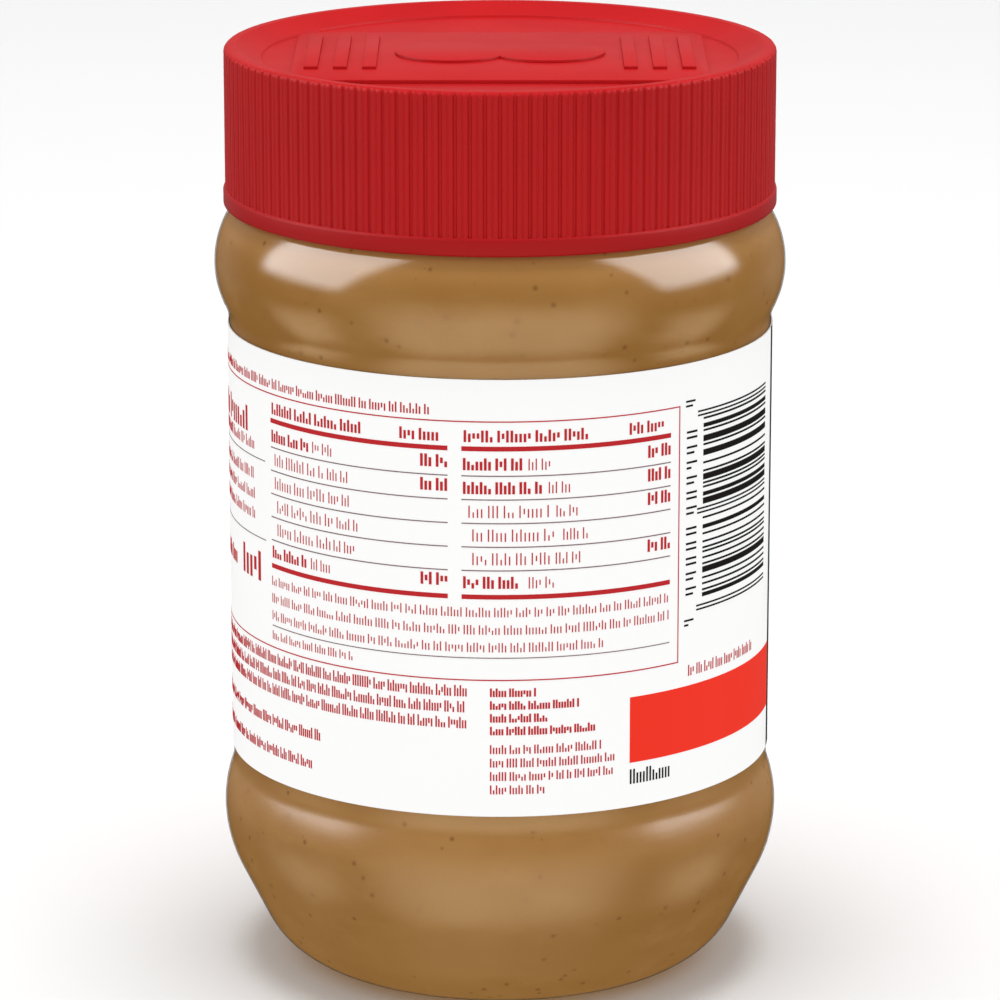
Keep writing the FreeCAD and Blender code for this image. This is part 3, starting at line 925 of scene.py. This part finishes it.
def ribbedForm():
    # one rib and its groove, then all of them round the lid
    pitch = turn / lid["ribs"]
    count = len(ribLines)
    shape = turned(lidLine(), count, angle=pitch)
    grooveRadius = lid["radius"] - lid["ribDepth"]
    beadTop = lidLow.z + lid["beadHeight"]
    for corner in shape.verts:
        radius = math.hypot(corner.co.x, corner.co.y)
        if radius < 1e-6:
            continue
        index = round(math.atan2(corner.co.y, corner.co.x) / pitch * count)
        along, cut = ribLines[index % count]
        angle = along / lid["radius"] + pitch * (index // count)
        if corner.co.z > beadTop + 0.03 and radius > grooveRadius:
            radius -= (radius - grooveRadius) * cut
        corner.co = (radius * math.cos(angle), radius * math.sin(angle), corner.co.z)
    everything = shape.verts[:] + shape.edges[:] + shape.faces[:]
    bmesh.ops.spin(shape, geom=everything, cent=(0, 0, 0), axis=(0, 0, 1), use_duplicate=True,
                   angle=turn - pitch, steps=lid["ribs"] - 1)
    return shape


def raisedShape(outline, low, high, soften=0.14):
    # a flat form with a softened upper edge
    shape = bmesh.new()
    face = shape.faces.new([shape.verts.new((x, y, low)) for x, y in outline])
    raised = bmesh.ops.extrude_face_region(shape, geom=[face])["geom"]
    bmesh.ops.translate(shape, vec=(0, 0, high - low),
                        verts=[part for part in raised if isinstance(part, bmesh.types.BMVert)])
    upper = [edge for edge in shape.edges if all(corner.co.z > (low + high) / 2 for corner in edge.verts)]
    bmesh.ops.bevel(shape, geom=upper, offset=soften, offset_type="OFFSET", affect="EDGES", segments=2,
                    profile=0.5, material=-1)
    return shape


def plateForms():
    floor = lidHigh.z - lid["recess"]
    plateTop = floor + lid["plateRise"]
    wide = lid["plateHalfWidth"] - lid["plateCorner"]
    deep = lid["plateDepth"] / 2 - lid["plateCorner"]
    outline = []
    for quarter, (across, along) in enumerate(((1, 1), (-1, 1), (-1, -1), (1, -1))):
        centre = (wide * across, deep * along - lid["plateForward"])
        outline += arc(centre, lid["plateCorner"], quarter * 90, quarter * 90 + 90, 8)
    forms = [raisedShape(outline, floor - 0.2, plateTop)]
    spread = math.degrees(math.acos(-lid["nutOffset"] / lid["nutLobe"]))
    nut = arc((lid["nutOffset"], 0), lid["nutLobe"], -spread, spread, 40)[:-1]
    nut += arc((-lid["nutOffset"], 0), lid["nutLobe"], 180 - spread, 180 + spread, 40)[:-1]
    forms.append(raisedShape(nut, plateTop - 0.2, plateTop + lid["emblemRise"]))
    for side in (-1, 1):
        for near in lid["barStarts"]:
            left, right = sorted((side * near, side * (near + lid["barWidth"])))
            reach = lid["barReach"]
            bar = [(left, -reach), (right, -reach), (right, reach), (left, reach)]
            forms.append(raisedShape(bar, plateTop - 0.2, plateTop + lid["emblemRise"]))
    return forms


def lidFinish():
    finish = Finish("redPlastic")
    cloud = finish.noise(14, 3.0, 0.55)
    grain = finish.noise(0.35, 2.0)
    colour = finish.blend(cloud.between(0.3, 0.7) * 0.5, lid["colour"], lid["deep"])
    # painted shade: the smooth bead below the ribs is coloured darker
    edge = lidLow.z + lid["beadHeight"]
    bead = 1 - finish.height().between((edge - 0.2) * mm, edge * mm)
    colour = finish.blend(bead, colour, lid["beadShadeColour"])
    return finish.output(finish.node("BsdfPrincipled", None, {
        "Base Color": colour, "Roughness": 0.38 + 0.12 * cloud, "Specular IOR Level": 0.06,
        "Normal": finish.bump(grain * 0.3 + cloud, 0.04)}))


def makeLid():
    shape = ribbedForm()
    bmesh.ops.remove_doubles(shape, verts=shape.verts, dist=weld)
    keep(joined(shape, *plateForms()), "ribbedLid", lidFinish(), "lid", "lid", crease=32)
    print("lid made")


scene = bpy.context.scene
scene.view_settings.view_transform = "Standard"
makeCamera()
makeStudio()
makeJar()
makeContents()
makeLabel()
makeLid()
